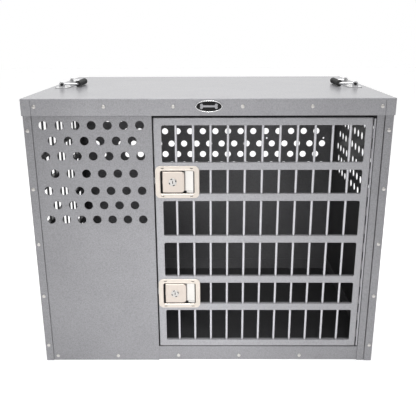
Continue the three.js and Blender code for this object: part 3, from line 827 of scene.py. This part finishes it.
def make_rails():
    bars = [extent(f"door_bar_{i}") for i in range(3, 12)]
    bars += [extent(f"door_bar_{i}_middle") for i in (1, 2)]
    for i, (xs, ys, zs) in enumerate(RAILS):
        places = [(middle(bar[1]) - ys[0], middle(bar[0])) for bar in bars]
        rail = ledge(ys[1] - ys[0], zs[1] - zs[0], xs, places)
        lies = standing((0, 1, 0), (1, 0, 0), (0, 0, -1), (0, ys[0], zs[1]))
        piece(f"door_ledge_{i + 1}", rail, lies, DOOR_COAT, "door", [f"door_rail_{i + 1}"])


def make_bars():
    for node in sorted(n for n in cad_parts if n.startswith("door_bar_")):
        xs, ys, (low, high) = extent(node)
        bar = round_bar((xs[1] - xs[0]) / 2, low, high)
        piece(node.replace("door_bar", "bar"), bar, shift(middle(xs), middle(ys)), BAR_METAL,
              "door", [node])


def make_side_grille():
    """The ledges and the bars of the left wall, spaced as they are in the door."""
    (outer, inner), run, (low, high) = GRILLE
    near, after = extent("door_bar_3")[0], extent("door_bar_4")[0]
    radius, pitch = (near[1] - near[0]) / 2, after[0] - near[0]
    x = middle(extent("door_bar_3")[1]) - FACE - WALL[0][1]
    ys = [middle(run) + pitch * k for k in range(-5, 6)]
    # The ledges and the bars take painted shade, as they are seen against the dark inside.
    for i, (_, _, (bottom, top)) in enumerate(RAILS):
        rail = ledge(inner - outer, top - bottom, (-run[1], -run[0]), [(x - outer, -y) for y in ys])
        lies = standing((1, 0, 0), (0, -1, 0), (0, 0, -1), (outer, 0, top))
        piece(f"side_ledge_{i + 1}", rail, lies, SHADED, "crate")
    bars = [moved(round_bar(radius, low, high), shift(x, y)) for y in ys]
    piece("side_bars", merged(*bars), UPRIGHT, SIDE_BAR_SHADE, "crate", ["left_side_grille"])


def make_hinge():
    """A continuous hinge with knuckles about an inch long, taken in turn by its two leaves."""
    low, high = extent("jamb_hinge_leaf")[2]
    knuckles = 25
    pitch = (high - low) / knuckles
    sheet, curled = 1.5, 0.8  # the knuckles are rolled thin, so that a dark line shows beside them
    near, gap = 2.8, 0.25  # where a leaf starts beside the pin, and half the space between knuckles
    curl = KNUCKLE_RADIUS - 1.6  # the knuckles' inside lies on the rod
    for name, side, body, first in (("jamb", 1, "crate", 0), ("door", -1, "door", 1)):
        xs, ys, _ = extent(f"{name}_hinge_leaf")
        far = xs[1] if side > 0 else xs[0]
        leaf_front = ys[1] - sheet - HINGE.y
        # From the leaf towards the pin, then once round it
        path = [(side * (near + 0.6), leaf_front), (side * near, leaf_front)]
        path += [(side * curl * sin(a), curl * cos(a))
                 for a in (radians(40 - 19 * i) for i in range(18))]
        if side > 0:
            path = path[::-1]
        across = sorted((side * near, far - HINGE.x))
        # The leaves are black: painted shade behind and beside the knuckles.
        leaf = box(across, (low, high), (leaf_front, leaf_front + sheet), 0.2)
        piece(f"{name}_leaf", leaf, facing_front(HINGE.y, HINGE.x), SHADE_BLACK, body,
              [f"{name}_hinge_leaf"])
        curls = [ribbon(path, curled, (low + i * pitch + gap, low + (i + 1) * pitch - gap))
                 for i in range(first, knuckles, 2)]
        piece(f"{name}_knuckles", merged(*curls), facing_front(HINGE.y, HINGE.x), HINGE_STEEL,
              body)
    (x0, x1), _, (bottom, top) = HINGE_PIN
    r = (x1 - x0) / 2
    ends = [(r + 1.2, bottom), (r + 1.4, bottom + 0.5), (r, bottom + 1.1), (r, top - 1.1),
            (r + 1.4, top - 0.5), (r + 1.2, top)]
    piece("hinge_rod", lathe(ends, 20), shift(HINGE.x, HINGE.y), DARK_STEEL, "crate",
          ["hinge_pin"])


# ---------------------------------------------------------------- latches

FLANGE = extent("upper_latch_pan")
LATCH = (middle(FLANGE[0]), [middle(extent(f"{level}_latch_pan")[2]) for level in ("upper", "lower")])
PIVOT = (-35.5, 5.5)
LOCK_U = -12.0
DISH = (43.7, 30.4)  # half the width and the height of a pan's opening


def pan_ring(width, height, w, radius):
    """A ring round a pan at one depth, from half its width and height."""
    return [(*p, w) for p in rounded((-width, width), (-height, height), radius, 6)]


def make_pan(level, stands):
    """A pressed flange with a raised lip round its opening, and the dish behind it."""
    def flange(*profile):
        """Rings inside the flange's edge."""
        width, height = [(high - low) / 2 for low, high in (FLANGE[0], FLANGE[2])]
        return [pan_ring(width - shrink, height - shrink, w, 12 - shrink) for shrink, w in profile]

    def opening(*profile):
        """Rings that follow the opening's edge."""
        return [pan_ring(DISH[0] + grow, DISH[1] + grow, w, radius) for grow, w, radius in profile]

    front = flange((0, -0.6), (0, -1.1), (0.25, -1.55), (0.8, -1.8), (2.2, -1.95), (3.4, -1.8))
    lip = opening((3.6, -1.8, 8), (2.8, -2.15, 7.3), (1.7, -2.45, 6.4), (0.6, -2.3, 5.6),
                  (-0.6, -1.3, 4.6))
    dish = opening((-1.2, 0.2, 4.2), (-1.3, 9.5, 4.0), (-2.2, 12.0, 3.2), (-4.5, 12.8, 1.5))
    back = opening((-4.0, 14.0, 2.0), (-1.0, 13.2, 4.0), (0, 10.0, 5.0), (0, 0.4, 5.0),
                   (0.8, -0.3, 5.8)) + flange((0.2, -0.3))
    shell = carved(loft([*dish[::-1], *lip[::-1], *front[::-1], *back[::-1]]),
                   box((PIVOT[0] - 2.5, PIVOT[0] + 12), (-5, 5), (11, 16), 0.5))
    # All that lies behind the flange, and the inner edge of the lip, is black: painted shade in the
    # dish.
    for face in shell.faces:
        u, v, w = face.calc_center_median()
        face.material_index = int(w > 0.4 or (w > -1.2 and abs(u) < 43.3 and abs(v) < 30.0))
    piece(f"{level}_pan", shell, stands, (LATCH_METAL, SHADE_BLACK), "door", [f"{level}_latch_pan"])
    # The finger recess is a plate that rises from behind the paddle's free edge, cut short below.
    rise = [(15.5, 9.0), (18.6, 5.0), (21.0, 4.0), (30.0, 2.6), (38.0, 1.4), (40.4, 1.0)]
    scoop = merged(ribbon(rise, 1.0, (-23.5, 28.6)),
                   ribbon([(23.5, 3.6), *rise[3:]], 1.0, (-28.6, -24.2)))
    # Its lighter metal is painted reflection.
    piece(f"{level}_finger_recess", scoop, stands, RECESS_SHEEN, "door")
    screws = [(u, v) for u in (-37.5, 36.0) for v in (-36.5, 36.5)]
    heads = [moved(screw_head(), shift(u, v, -1.9)) for u, v in screws]
    # The screws' slots are black: painted shade.
    slots = [box((u - 3.6, u + 3.6), (v - 0.85, v + 0.85), (-2.4, -1.7), 0.1) for u, v in screws]
    piece(f"{level}_pan_screws", merged(*heads), stands, LATCH_METAL, "door")
    piece(f"{level}_pan_screw_slots", merged(*slots), stands, SHADE_BLACK, "door")


def screw_head():
    """A low head with one wide slot."""
    radius = 4.2
    head = lathe([(radius, 0.3), (radius, -0.25), (radius * 0.9, -0.6), (radius * 0.6, -0.8),
                  (0, -0.85)], 20)
    return carved(head, box((-5, 5), (-0.95, 0.95), (-2, -0.3), 0.05))


def make_paddle(level, stands):
    """A pressed paddle, folded back along its edges, with the lever that throws the bolt."""
    corner = 8.0
    left, right, half, depth = -38.0, 18.0, 28.0, 10.2
    outline = (arc(right - corner, corner - half, corner, -90, 0)
               + arc(right - corner, half - corner, corner, 0, 90)
               + arc(left + 1.5, half - 1.5, 1.5, 90, 180, 3)
               + arc(left + 1.5, 1.5 - half, 1.5, 180, 270, 3))
    lock_hole = circle(LOCK_U, 0, 9.3, 32, clockwise=True)
    sheet = 1.6
    shell = plate(divided(outline, 4), [lock_hole], turned_back(sheet, 2.4, depth),
                  sheared(sheet, 0.3))
    for vert in shell.verts:
        u, _, w = vert.co
        room = depth - (depth - 2.6) * min(max((u + 4) / 12, 0), 1)
        vert.co.z = min(w, room) - 1.2
    lever_plan = [(-3, 1), (3, 1), (3, 8.5), (1.5, 10), (1.5, 23.4), (0.9, 24), (-0.9, 24),
                  (-1.5, 23.4), (-1.5, 10), (-3, 8.5)]
    lever = plate([Vector((PIVOT[0] + u, w)) for u, w in lever_plan], rim=drawn(-4, 4, 0.25))
    lever.transform(along_v())
    piece(f"{level}_paddle_plate", merged(shell, lever), stands, PADDLE_METAL, f"{level}_paddle",
          [f"{level}_paddle"])


def make_lock(level, stands):
    """A key cylinder: a collar, a plug with its key slot, and four staking marks."""
    body = lathe([(8.6, 8.0), (9, 7.6), (9, -1.4), (10.5, -1.5), (10.5, -2.3), (9.9, -2.8),
                  (7.2, -2.8), (6.9, -2.3), (6.7, -2.3), (6.5, -2.7), (0, -2.7)], 36)
    key_slot = box((-1.1, 1.1), (-3.9, 3.9), (-4, -0.6), 0.1)
    cylinder = moved(carved(body, key_slot), shift(LOCK_U))
    piece(f"{level}_lock", cylinder, stands, LOCK_METAL, f"{level}_lock",
          [f"{level}_lock_cylinder"])
    # The staking marks and a bar in the key slot are black: painted shade.
    marks = [moved(box((-1.2, 1.2), (-2.4, 2.4), (-3.0, -2.4), 0.2),
                   shift(LOCK_U + 8.6 * cos(a), 8.6 * sin(a)) @ Matrix.Rotation(a, 4, "Z"))
             for a in (radians(20 + 90 * i) for i in range(4))]
    marks.append(box((LOCK_U - 1.0, LOCK_U + 1.0), (-3.8, 3.8), (-1.2, -0.7), 0.1))
    piece(f"{level}_lock_marks", merged(*marks), stands, SHADE_BLACK, f"{level}_lock")
    xs, ys, zs = extent(f"{level}_lock_cam")
    cam = plate(rounded(xs, zs, 4.5), rim=sheared(ys[1] - ys[0], 0.25))
    piece(f"{level}_cam", cam, facing_front(ys[0]), DARK_STEEL, f"{level}_lock",
          [f"{level}_lock_cam"])


def make_bolt(level, stands):
    """The sliding bolt, its hat-shaped guide, and the paddle's pin and torsion spring."""
    plan = [Vector(p) for p in ((-69, 16), (-14, 16), (-14, 26), (-61, 26), (-69, 19))]
    bolt = plate(plan, rim=drawn(-9, 9, 0.4))
    bolt.transform(along_v())
    notch = box((PIVOT[0] - 5.5, PIVOT[0] + 5.5), (-5.5, 5.5), (10, 30), 0.4)
    piece(f"{level}_sliding_bolt", carved(bolt, notch), stands, ZINC, f"{level}_bolt",
          [f"{level}_bolt"])
    foot, crown, half, reach = 14.3, 27.5, 10.6, 18
    hat = [(-reach, foot), (-half, foot), (-half, crown), (half, crown), (half, foot), (reach, foot)]
    guide = ribbon(hat[::-1], 1.2, (-43.0, -6.0))
    guide.transform(standing((0, 1, 0), (1, 0, 0), (0, 0, 1)))
    piece(f"{level}_guide", guide, stands, LATCH_METAL, "door", [f"{level}_bolt_guide"])
    pin = round_bar(2, -30.1, 30.1, 0.4, 18)
    pin.transform(along_v(*PIVOT))
    piece(f"{level}_pin", pin, stands, ZINC, "door", [f"{level}_paddle_pin"])
    turns, steps, wire = 3, 24, 3.1
    coil = [(wire * cos(a), wire * sin(a), 7.4 + 3.7 * i / (turns * steps))
            for i, a in ((i, 2 * pi * i / steps) for i in range(turns * steps + 1))]
    spring = sweep([(wire, -6.5, 7.4), *coil, (wire, 6.2, 11.1)], 0.5, 8)
    spring.transform(along_v(*PIVOT))
    piece(f"{level}_torsion_spring", spring, stands, DARK_STEEL, "door",
          [f"{level}_paddle_spring"])


def make_latches():
    for level, z in zip(("upper", "lower"), LATCH[1]):
        stands = facing_front(FACE, LATCH[0], z)
        make_pan(level, stands)
        make_paddle(level, stands)
        make_lock(level, stands)
        make_bolt(level, stands)


# ---------------------------------------------------------------- handles


def make_handle(name, side):
    """A folding bail with a ribbed rubber grip, on a riveted plate with two ears."""
    xs, ys, zs = extent(f"{name}_handle_plate")
    bail_x, bail_y, bail_z = extent(f"{name}_bail")
    grip_x, grip_y, _ = extent(f"{name}_grip")
    rod = middle(bail_z) - bail_z[0]
    pivot_z = middle(bail_z)
    pivot_x = side * (max(abs(bail_x[0]), abs(bail_x[1])) - rod)
    grip_centre = middle(grip_x)
    arm, sheet = 56.0, 1.6
    ear_y, ear_radius, ear_foot = 65.0, 8, zs[0] + 0.4
    base = plate(rounded(xs, ys, 7, 6), rim=pressed(sheet, 0.7, 3))
    base.transform(facing_up(zs[0] + sheet))
    ears = []
    for y in (-ear_y, ear_y):
        ear = [Vector((pivot_x + ear_radius, ear_foot)),
               *arc(pivot_x, pivot_z, ear_radius, 0, 180, 14),
               Vector((pivot_x - ear_radius, ear_foot))]
        hole = circle(pivot_x, pivot_z, rod + 0.4, 20, clockwise=True)
        ears.append(moved(plate(ear, [hole], sheared(SHEET, 0.3)), facing_front(y - 1)))
    heads = [moved(rivet(3.2, 1.5), facing_up(zs[0] + sheet, middle(xs) + u, v))
             for u in (-11, 11) for v in (-46, 0, 46)]
    piece(f"{name}_handle_base", merged(base, *ears), UPRIGHT, ZINC, "crate",
          [f"{name}_handle_plate"])
    piece(f"{name}_handle_rivets", merged(*heads), UPRIGHT, RIVET_METAL, "crate")

    bend = 8.0
    toward = 1 if grip_centre > pivot_x else -1
    end = bail_y[1]
    corner = [(toward * (1 - cos(a)) * bend, sin(a) * bend)
              for a in (pi / 2 * i / 8 for i in range(9))]
    # The lower half runs from the pivot's end through both bends to the grip's middle.
    lower = [(pivot_x, -end)]
    lower += [(pivot_x + du, -arm - bend + dv) for du, dv in corner]
    lower += [(grip_centre - toward * (bend - dv), -arm + (bend - abs(bend - abs(du))))
              for du, dv in corner]
    upper = [(x, -y) for x, y in reversed(lower)]
    path = [(x, y, pivot_z) for x, y in (*lower, (grip_centre, 0.0), *upper)]
    piece(f"{name}_handle_bail", sweep(path, rod, 18), UPRIGHT, ZINC, f"{name}_handle",
          [f"{name}_bail"])
    # The caps on the bail's ends are black: painted shade at the pivots.
    cap_radius, cap_start = 4.2, 66.3
    caps = [lathe([(cap_radius - 0.6, way * cap_start), (cap_radius, way * (cap_start + 0.5)),
                   (cap_radius, way * (end - 0.6)), (cap_radius - 1.0, way * (end + 0.3))], 24)
            for way in (-1, 1)]
    piece(f"{name}_handle_caps", moved(merged(*caps), along_v(pivot_x, pivot_z)), UPRIGHT,
          SHADE_BLACK, f"{name}_handle")

    radius = (grip_x[1] - grip_x[0]) / 2
    half = (grip_y[1] - grip_y[0]) / 2
    profile = [(rod + 0.3, -half), (radius - 0.8, -half), (radius, -half + 0.8),
               (radius, -half + 4), (radius - 0.9, -half + 5)]
    ribs = 16
    run = 2 * (half - 6)
    for i in range(ribs * 4 + 1):
        wave = 0.45 * (1 + cos(2 * pi * i / 4))
        profile.append((radius - 1.2 + wave, -half + 6 + run * i / (ribs * 4)))
    profile += [(radius - 0.9, half - 5), (radius, half - 4), (radius, half - 0.8),
                (radius - 0.8, half), (rod + 0.3, half)]
    grip = lathe(profile, 30)
    grip.transform(along_v(grip_centre, pivot_z))
    piece(f"{name}_rubber_grip", grip, UPRIGHT, RUBBER, f"{name}_handle", [f"{name}_grip"])


# ---------------------------------------------------------------- studio


def make_camera():
    """A little higher than the lid, in front of the door, looking down at the crate."""
    camera = placed("camera", bpy.data.cameras.new("camera"))
    camera.data.sensor_width = 36.0
    camera.data.lens = 49.12
    pitch, yaw, roll = radians(17.561), radians(-0.386), radians(0.193)
    ahead = Vector((sin(yaw) * cos(pitch), cos(yaw) * cos(pitch), -sin(pitch)))
    across = Vector((cos(yaw), -sin(yaw), 0))
    down = ahead.cross(across)
    right = cos(roll) * across + sin(roll) * down
    below = cos(roll) * down - sin(roll) * across
    turn = Matrix((right, -below, -ahead)).transposed().to_4x4()
    camera.matrix_world = Matrix.Translation((0.0088, -1.7094, 0.8880)) @ turn
    bpy.context.scene.camera = camera


def lit(name, kind, place, target, power, **values):
    """A light at a place, facing its target."""
    light = bpy.data.lights.new(name, kind)
    light.energy = power
    for field, value in values.items():
        setattr(light, field, value)
    obj = placed(name, light)
    obj.location = place
    obj.rotation_euler = (Vector(target) - Vector(place)).to_track_quat("-Z", "Y").to_euler()


def make_studio():
    floor = bmesh.new()
    bmesh.ops.create_grid(floor, x_segments=8, y_segments=8, size=12.0)
    plane = made("floor", floor)
    plane.data.materials.append(studio_paper("studio_paper"))
    world = bpy.data.worlds.new("studio")
    world.use_nodes = True
    sky = Graph(world.node_tree)
    background = sky.tree.nodes["Background"]
    background.inputs["Strength"].default_value = 1.0
    # The room is white behind and above, and dimmer towards its sides and its front.
    axes = sky.node("ShaderNodeSeparateXYZ")
    sky.feed(axes.inputs[0], sky.node("ShaderNodeTexCoord").outputs["Generated"])
    aside = sky.ramp(sky.math("ABSOLUTE", axes.outputs["X"]), (0.35, 0.7), (1.0, 0.25))
    ahead = sky.ramp(axes.outputs["Y"], (-0.8, -0.2), (0.6, 1.0))
    sky.feed(background.inputs["Color"], sky.math("MULTIPLY", aside, ahead))
    bpy.context.scene.world = world
    lit("overhead", "AREA", (0, -0.1, 2.6), (0, 0, 0.7), 42, shape="RECTANGLE", size=3.0, size_y=2.0)
    spot = dict(spot_size=radians(28), spot_blend=0.8, shadow_soft_size=0.35)
    lit("front", "SPOT", (-0.1, -1.9, 1.35), (-0.04, -0.32, 0.2), 118, **spot)
    lit("low", "SPOT", (-0.5, -1.9, 0.25), (0.02, -0.32, 0.28), 20, **spot)
    bpy.context.scene.view_settings.view_transform = "Standard"


make_camera()
make_lid()
make_floor()
for wall_name, wall_side in SIDES:
    make_side_wall(wall_name, wall_side)
make_rear_wall()
make_front()
make_header()
make_rivets()
make_badge()
make_door_skin()
make_rails()
make_bars()
make_side_grille()
make_hinge()
make_latches()
for handle_name, handle_side in SIDES:
    make_handle(handle_name, handle_side)
make_studio()
